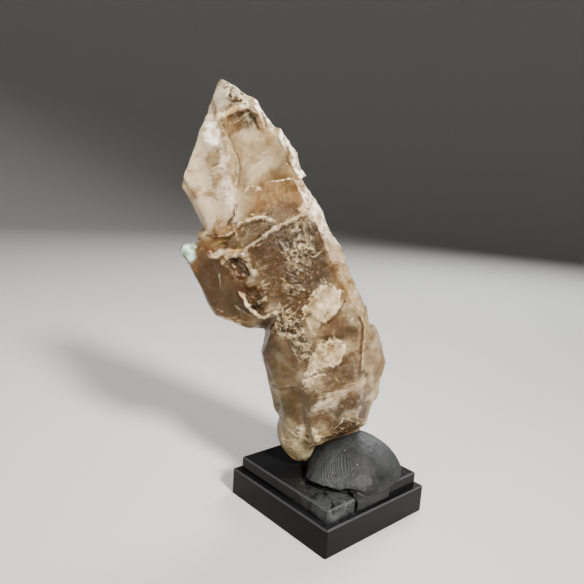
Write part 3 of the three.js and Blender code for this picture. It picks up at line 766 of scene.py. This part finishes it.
def putty_material():
    shader = Shader("mounting_putty")
    place = shader.mapped()
    mottle = shader.noise(place, 0.35, 5, 0.6)
    specks = shader.noise(place, 2.1, 2, 0.5)
    fine = shader.noise(place, 5.0, 5, 0.65)
    colour = shader.blend(PUTTY_DARK, PUTTY_LIGHT, shader.span(mottle, 0.35, 0.65))
    colour = shader.blend(colour, CRUMB, shader.span(specks, 0.77, 0.80, 0, 0.8))
    # Painted highlight on the crests of the finger marks.
    colour = shader.blend(colour, PUTTY_RIDGE_HIGHLIGHT, shader.times(shader.stored("ridge"), 0.7))
    colour = shader.blend(colour, PUTTY_SHADOW, shader.stored("under"))
    return shader.surface(
        Base_Color=colour,
        Roughness=shader.span(mottle, 0.3, 0.7, 0.48, 0.66),
        IOR=1.46,
        Specular_IOR_Level=0.2,
        Normal=shader.add("Bump", {"Height": fine, "Strength": 0.5, "Distance": 0.06 * MM}),
    )


def plastic_material(name, black, gloss):
    shader = Shader(name)
    place = shader.mapped()
    film = shader.stored("film")
    smear = shader.noise(place, 0.5, 5, 0.65, 0.8)
    specks = shader.noise(place, 2.6, 2, 0.5)
    scuffs = shader.noise(shader.mapped((1, 1, 6)), 0.6, 5, 0.7)
    dust = shader.span(specks, shader.span(film, 0, 1, 0.80, 0.70), 0.84)
    greasy = shader.times(film, shader.span(smear, 0.35, 0.6))
    colour = shader.blend(shader.blend(black, GREASE, greasy), DUST, shader.times(dust, 0.6))
    return shader.surface(
        Base_Color=colour,
        Roughness=shader.plus(shader.span(scuffs, 0.4, 0.7, gloss, gloss + 0.14), shader.times(greasy, 0.35)),
        IOR=1.49,
        Specular_IOR_Level=0.08,
        Normal=shader.add("Bump", {"Height": scuffs, "Strength": 0.15, "Distance": 0.02 * MM}),
    )


def plain_material(name, colour, roughness):
    return Shader(name).surface(Base_Color=colour, Roughness=roughness)


# ---- The crystal ----
WANDER = 0.35  # mm that the features' edges wander, as broken stone does
TREMBLE = 0.22  # mm, the same on a finer scale
LINE_WANDER = 0.45  # how much of the wander the thin lines follow

STEP_RISE = 0.14  # mm, half the width of a step's wall
STEP_REACH = 1.6  # mm from its line over which a step fades out
RIM_RISE = 0.15  # mm, half the width of a frosted plate's rim
CRACK_DEPTH = 0.12  # mm
NO_PLATE = -2.0  # mm, the depth in a plate where there is none

TERRACE_SIZE = (3.0, 3.0, 5.5)  # mm
TERRACE_LEVELS = 2.2  # up or down
SCOOP_SIZE = (2.2, 2.2, 2.6)  # mm
SCOOP_MEAN = 0.55  # of the scoops' noise, which is taken off
CRAG_SIZE = (1.3, 1.3, 0.9)  # mm

RING_CENTRE = (-9.0, -44.0)
RING_GAP = 1.24  # mm from one curved line of the shell-like fracture to the next
RING_HEIGHT = 0.045  # mm
SHELL = ((-1.6, -52.6), (4.0, 2.6), 15)  # where these lines show: centre, radii, turn
SOUND_SIDE = ((4.2, -51.0), (4.5, 8.0), 0)  # the bump, whose side is hardly broken: centre, radii, turn


def worn_smooth(points, edges):
    """The points, smoothed a little everywhere and much more in the worn places."""
    points = blurred(points, edges, 1, 0.5)
    place = to_crystal(points)[:, [0, 2]]
    worn = np.zeros(len(points))
    for centre, radii, turn in WORN:
        worn = np.maximum(worn, spot(place, centre, radii, turn))
    return mix(points, blurred(points, edges, WORN_ROUNDS, 0.6), worn[:, None])


def raised_bands(place, uneven, facing):
    """The relief of the broad bands, and how far each vertex is on each band, with the band's kind."""
    relief, banded = np.zeros(len(place)), []
    for path, width, height, stone in BANDS.values():
        on = ramp(distance_to(place, path), width * (1.2 + 0.6 * uneven), 0) * facing
        relief += height * on
        banded.append((on, stone))
    return relief, banded


def raised_steps(place, uneven, facing):
    """The relief of the steps along lines."""
    relief = np.zeros(len(place))
    for name, height in STEPS.items():
        off, past = across(place, LINES[name][0])
        fade = np.exp(-abs(off) / STEP_REACH) * ramp(past, 0.8, 0) * facing * (0.8 + 0.5 * uneven)
        relief += height * (ramp(off, -STEP_RISE, STEP_RISE) - 0.5) * fade
    return relief


def frosted_plates(place, straight, patchy, facing):
    """The plates' relief, how deep in a plate or ridge each vertex is, in mm, and how white that one is."""
    relief, white = np.zeros(len(place)), np.zeros(len(place))
    plate = np.full(len(place), NO_PLATE)
    for outline, whiteness, height in [*FROSTED.values(), *PALE_PLACES.values()]:
        depth = depth_in(place, outline)
        white = np.where(depth > plate, whiteness, white)
        plate = np.maximum(plate, depth)
        relief += height * ramp(depth, -RIM_RISE, RIM_RISE) * facing
    for name, (half, whiteness) in RIDGES.items():
        depth = half * patchy - distance_to(straight, LINES[name][0])
        white = np.where(depth > plate, whiteness, white)
        plate = np.maximum(plate, depth)
    return relief, plate, white


def broken_relief(local, wander, behind, side, worn_edge, torn):
    """Steps, scoops and crags of grown and broken quartz, deeper at the back and on the broken side."""
    levels = TERRACE_LEVELS * field(local + 0.5 * wander[:, [0, 0, 1]], np.array(TERRACE_SIZE), 2, 3)
    relief = terraces(levels) * (0.05 + 0.12 * behind + 0.06 * side)
    scoops = cells(local, np.array(SCOOP_SIZE), 1) - SCOOP_MEAN
    relief += scoops * (0.05 + 0.6 * side + 0.2 * worn_edge)
    relief += crags(local, np.array(CRAG_SIZE), 6, 3) * (0.008 + 0.17 * torn)
    return relief + 0.05 * field(local, 2.4, 9, 3)


def crystal_piece():
    piece = remeshed("crystal", CRYSTAL_VOXEL, "quartz_crystal")
    mesh = piece.data
    edges = edges_of(mesh)
    points = worn_smooth(points_of(mesh), edges)
    place_points(mesh, points)
    normals = normals_of(mesh)
    local = to_crystal(points)

    # How far each vertex is on the front, a little round it, at the back and on the broken right side.
    facing = ramp(-normals[:, 1], 0.15, 0.6) * ramp(local[:, 1], 0.5, -1.0)
    visible = ramp(-normals[:, 1], -0.6, -0.1) * ramp(local[:, 1], 4.0, 1.5)
    behind = ramp(normals[:, 1], 0.0, 0.5)
    wander = field_pair(local, 1.1, 3, 3) * WANDER
    place = local[:, [0, 2]] + wander + TREMBLE * field_pair(local, 0.45, 16)
    straight = local[:, [0, 2]] + LINE_WANDER * wander
    side = ramp(normals[:, 0] * math.cos(LEAN) + normals[:, 2] * math.sin(LEAN), 0.4, 0.8)
    side *= ramp(local[:, 0], -1.5, 1.5) * (1 - 0.95 * spot(place, *SOUND_SIDE))
    crazed = 0.35 * side
    for centre, radii, turn, strength in CRAZED:
        crazed = np.maximum(crazed, strength * spot(place, centre, radii, turn) * facing)
    crack, dark = nearest_of(straight, CRACKS_AND_SHADE)
    edge, bright = nearest_of(straight, LINES)

    uneven = field(local, 0.9, 5, 2)
    patchy = 0.8 + 2.6 * field(local, 0.8, 25, 2)
    relief, banded = raised_bands(place, uneven, facing)
    relief += raised_steps(straight, uneven, facing)
    plates, plate, white = frosted_plates(place, straight, patchy, facing)
    relief += plates - CRACK_DEPTH * ramp(abs(crack), 2.0, 0.0) * dark * facing

    worn_edge = ramp(bulge(points, normals, edges, 6), 0.03, 0.12)
    frosted = ramp(plate, -0.1, 0.1) * white * facing
    torn = np.maximum.reduce([0.35 * frosted, 0.45 * crazed, 0.3 * worn_edge, 0.25 * side])
    relief += broken_relief(local, wander, behind, side, worn_edge, torn)

    rings = np.sin(np.linalg.norm(place - np.array(RING_CENTRE), axis=1) / RING_GAP * 2 * math.pi)
    relief += RING_HEIGHT * rings * spot(place, *SHELL) * facing

    moved = points + normals * relief[:, None]
    low, high = (np.array(corner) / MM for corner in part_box("crystal"))
    moved = np.clip(moved, low, high)  # so that it stays in the solid's box
    place_points(mesh, moved)
    keep(mesh, "plate", plate)
    keep(mesh, "white", white * facing)
    keep(mesh, "crazed", crazed)
    keep(mesh, "crack", crack)
    keep(mesh, "dark", dark * facing)
    keep(mesh, "edge", edge)
    keep(mesh, "bright", bright * facing)
    paint_crystal(mesh, local, place, visible, bulge(moved, normals, edges, 3), side, banded)
    mesh.materials.append(quartz_material())
    return piece


def look_of(stone):
    """A kind's colour and clearness in one row."""
    return np.array([*stone[0], stone[1]])


def laid_over(looks, stone, share):
    return mix(looks, look_of(stone), share[:, None])


def paint_crystal(mesh, local, place, visible, crest, side, banded):
    """Works out the colour and clearness at each vertex."""
    low = field(local, 5.0, 11, 3)
    fine = field(local, 1.0, 12, 4)
    ragged = place + field_pair(local, 1.6, 13, 3) * 0.7
    looks = np.tile(look_of(HONEY), (len(local), 1))
    looks = laid_over(looks, PALE, 0.5 * ramp(low + fine * 0.2, 0.0, 0.6))
    looks = laid_over(looks, BROWN, 0.6 * ramp(low - fine * 0.2, 0.05, -0.55))
    for centre, radii, turn, stone, strength in TINTS:
        looks = laid_over(looks, stone, strength * spot(ragged, centre, radii, turn) * visible)
    looks = laid_over(looks, BEIGE, 0.8 * side)
    # On the front of the upper right side: white, partly frost and partly a painted highlight where that side
    # faces the light.
    frost_and_highlight = side * ramp(fine, -0.6, 0.4) * ramp(local[:, 1], 1.5, -1.0) * ramp(local[:, 2], -36, -22)
    looks = laid_over(looks, WHITE, 0.75 * frost_and_highlight)
    for on, stone in banded:
        looks = laid_over(looks, stone, 0.8 * ramp(on + 0.3 * fine, 0.2, 0.8))

    # Painted highlights on the crests and painted shade in the hollows.
    looks = laid_over(looks, CREAM, 0.35 * ramp(crest, 0.03, 0.10) * ramp(fine, -0.2, 0.4))
    shade_in_hollows = ramp(crest, -0.03, -0.10)
    looks[:, :3] *= 1 - shade_in_hollows[:, None] * np.array([0.6, 0.65, 0.7])
    keep(mesh, "tint", np.clip(looks[:, :3] * (1 + 0.12 * fine[:, None]), 0, 1))
    keep(mesh, "clear", np.clip(looks[:, 3], 0, 1))
    combed = np.zeros(len(local))
    for centre, radii, turn, strength in COMBED:
        combed = np.maximum(combed, strength * spot(ragged, centre, radii, turn) * visible)
    keep(mesh, "combed", combed)


# ---- Putty and plinth ----
FINGER_RIDGE = 0.36  # mm from one ridge of a fingerprint to the next
FINGER_HEIGHT = 0.05  # mm
PRINTS = [  # centre of each print's arcs, where it was pressed, its reach
    ((12.0, -14.0, 22.0), (-2.5, -8.0, 10.0), 8.0),
    ((26.0, 10.0, 4.0), (9.5, -3.0, 12.5), 5.5),
]
LIP = (-3.0, -9.5)  # x and y of the middle of the undercut front lip
LIP_DEPTH = 0.9  # mm
FILM_CENTRE = (0.5, -14.0, PLINTH_TOP)  # mm, at the plinth's front corner
EDGE_BEVEL = 0.03 * MM
LONG_EDGE = 2 * MM  # edges above this length are cut in four


def putty_piece():
    piece = remeshed("putty", PUTTY_VOXEL, "mounting_putty")
    mesh = piece.data
    points = blurred(points_of(mesh), edges_of(mesh), 4, 0.5)
    place_points(mesh, points)
    normals = normals_of(mesh)

    # Lumps and finger marks, above the plinth's top.
    free = ramp(points[:, 2], PLINTH_TOP + 0.1, PLINTH_TOP + 0.8)
    relief = 0.08 * field(points, 3.0, 21, 3) + 0.04 * field(points, 0.9, 22, 2)
    ridge = np.zeros(len(points))
    warp = 0.5 * field(points, 5.0, 23, 2)
    for centre, pressed, reach in PRINTS:
        on = ramp(np.linalg.norm(points - np.array(pressed), axis=1), reach, reach * 0.5)
        far = np.linalg.norm(points - np.array(centre), axis=1) + warp
        wave = 0.5 + 0.5 * np.sin(far / FINGER_RIDGE * 2 * math.pi)
        ridge = np.where(on > ridge, on * wave, ridge)
    relief += FINGER_HEIGHT * ridge

    # The undercut lip, just above the plinth.
    under = ramp(np.hypot(points[:, 0] - LIP[0], points[:, 1] - LIP[1]), 9.0, 5.0)
    under *= ramp(points[:, 2] + 0.3 * field(points, 1.6, 24, 2), PLINTH_TOP + 1.1, PLINTH_TOP + 0.7)
    moved = points + normals * (relief * free)[:, None]
    moved[:, :2] -= normals[:, :2] * (LIP_DEPTH * under)[:, None]
    place_points(mesh, moved)
    keep(mesh, "ridge", ridge)
    keep(mesh, "under", under)
    mesh.materials.append(putty_material())
    return piece


def plinth_piece():
    piece = copied("plinth", "display_plinth")
    mesh = piece.data
    flat = bmesh.new()
    flat.from_mesh(mesh)
    bmesh.ops.remove_doubles(flat, verts=flat.verts, dist=0.01 * MM)
    bmesh.ops.dissolve_limit(flat, angle_limit=math.radians(1), verts=flat.verts, edges=flat.edges)
    flat.normal_update()
    # The chamfers, which slope, have the second material: a lighter, rougher black.
    for face in flat.faces:
        face.material_index = int(0.1 < abs(face.normal.z) < 0.95)
    proud = [edge for edge in flat.edges if edge.is_convex]
    bmesh.ops.bevel(flat, geom=proud, offset=EDGE_BEVEL, segments=1, profile=0.5, affect="EDGES")
    bmesh.ops.triangulate(flat, faces=[face for face in flat.faces if len(face.verts) > 4])
    long_edges = [edge for edge in flat.edges if edge.calc_length() > LONG_EDGE]
    bmesh.ops.subdivide_edges(flat, edges=long_edges, cuts=3, use_grid_fill=True)
    flat.to_mesh(mesh)
    flat.free()
    points = points_of(mesh)
    film = ramp(np.linalg.norm(points - np.array(FILM_CENTRE), axis=1), 8.0, 2.0)
    keep(mesh, "film", film * ramp(points[:, 2], 4.9, 5.2))
    mesh.materials.append(plastic_material("black_acrylic", BLACK, 0.12))
    mesh.materials.append(plastic_material("acrylic_chamfer", CHAMFER_BLACK, 0.18))
    return piece


# ---- Studio ----
FLOOR_RADIUS = 0.55  # metres, of its flat middle
FLOOR_CURVE = 0.35  # metres, the radius of its rise into the wall
WALL_TOP = 0.6  # metres
AROUND = 96  # corners round the floor
PALE_GREY = (0.42, 0.415, 0.41)
AIR = (0.86, 0.82, 0.77, 1)  # the light from all round
AIR_STRENGTH = 0.15
MIDDLE = (-0.008, 0, 0.04)  # of the object, in metres
LAMPS = [  # name, place, what it points at, width in metres, watts, colour, spread in degrees
    ("key", (0.15, -0.24, 0.24), (-0.014, 0, 0.05), 0.07, 0.7, (1, 0.95, 0.87), 60),
    ("sheen", (0.02, -0.33, 0.19), MIDDLE, 0.06, 0.3, (1, 0.97, 0.93), 180),
    ("fill", (-0.28, -0.27, 0.18), MIDDLE, 0.14, 0.55, (1, 0.97, 0.93), 180),
    ("rim", (0.16, 0.30, 0.30), MIDDLE, 0.2, 3.0, (1, 1, 1), 180),
]


def circle(radius, height):
    turns = [2 * math.pi * step / AROUND for step in range(AROUND)]
    return [(radius * math.cos(turn), radius * math.sin(turn), height) for turn in turns]


def bowl():
    """A round pale floor that curves up into a wall on every side."""
    bends = np.linspace(0.1, math.pi / 2, 15)
    rise = [(FLOOR_RADIUS + FLOOR_CURVE * math.sin(t), FLOOR_CURVE * (1 - math.cos(t))) for t in bends]
    profile = [(FLOOR_RADIUS, 0), *rise, (FLOOR_RADIUS + FLOOR_CURVE, WALL_TOP)]
    verts = [(0, 0, 0)]
    for radius, height in profile:
        verts += circle(radius, height)
    following = [(step, (step + 1) % AROUND) for step in range(AROUND)]
    faces = [(0, 1 + i, 1 + j) for i, j in following]
    for ring in range(len(profile) - 1):
        a, b = 1 + ring * AROUND, 1 + (ring + 1) * AROUND
        faces += [(a + i, b + i, b + j, a + j) for i, j in following]
    mesh = bpy.data.meshes.new("floor")
    mesh.from_pydata(verts, [], faces)
    for polygon in mesh.polygons:
        polygon.use_smooth = True
    mesh.materials.append(plain_material("pale_floor", PALE_GREY, 0.9))
    linked("floor", mesh)


def lamp(name, place, towards, width, watts, colour, spread):
    data = bpy.data.lights.new(name, "AREA")
    data.shape = "DISK"
    data.size = width
    data.energy = watts
    data.color = colour
    data.spread = math.radians(spread)
    light = linked(name, data)
    light.location = place
    light.rotation_mode = "QUATERNION"
    light.rotation_quaternion = (Vector(towards) - Vector(place)).to_track_quat("-Z", "Y")


def studio():
    bowl()
    for settings in LAMPS:
        lamp(*settings)
    world = bpy.data.worlds.new("studio")
    world.use_nodes = True
    background = world.node_tree.nodes["Background"].inputs
    background["Color"].default_value = AIR
    background["Strength"].default_value = AIR_STRENGTH
    bpy.context.scene.world = world


def camera():
    """The camera, from the plinth's corners in the picture: place, lens and roll."""
    data = bpy.data.cameras.new("camera")
    data.sensor_width = SENSOR
    data.lens = LENS
    data.clip_start = 0.005
    eye = linked("camera", data)
    eye.location = EYE
    back = -Vector(EYE_FORWARD).normalized()
    right = Vector(EYE_RIGHT)
    right = (right - back * right.dot(back)).normalized()
    up = back.cross(right)
    eye.rotation_mode = "QUATERNION"
    eye.rotation_quaternion = Matrix((right, up, back)).transposed().to_quaternion()
    bpy.context.scene.camera = eye


def dress(piece, node):
    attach(piece, "root")
    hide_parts(node)


camera()
studio()
dress(crystal_piece(), "crystal")
dress(putty_piece(), "putty")
dress(plinth_piece(), "plinth")
